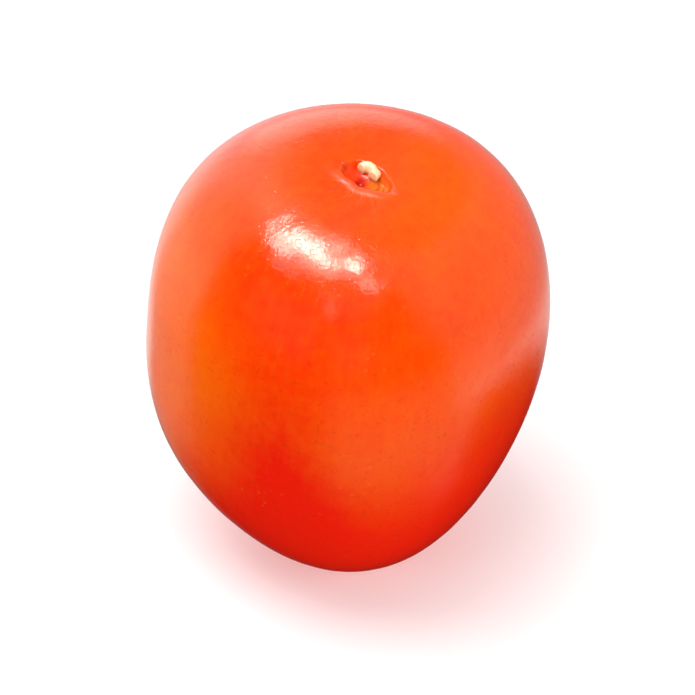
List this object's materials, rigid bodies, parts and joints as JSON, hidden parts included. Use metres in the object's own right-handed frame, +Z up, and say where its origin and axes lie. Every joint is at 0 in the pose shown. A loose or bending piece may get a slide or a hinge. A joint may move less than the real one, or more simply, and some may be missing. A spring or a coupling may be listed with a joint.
{
  "type": "tomato",
  "caption": "Ripe plum tomato without its calyx: blocky shoulders, tapering base, puckered stem scar, standing on a small flat spot.",
  "frame": {"origin": "middle of the small flat spot that the tomato rests on", "axes": "+Z up, roughly along the core towards the stem scar, which leans a little to -Y and +X; -Y is the side that the picture shows"},
  "size_m": [0.0596, 0.0597, 0.0705],
  "materials": {
    "skin": "gloss"
  },
  "bodies": {
    "root": {"fruit": "skin"}
  },
  "joints": []
}
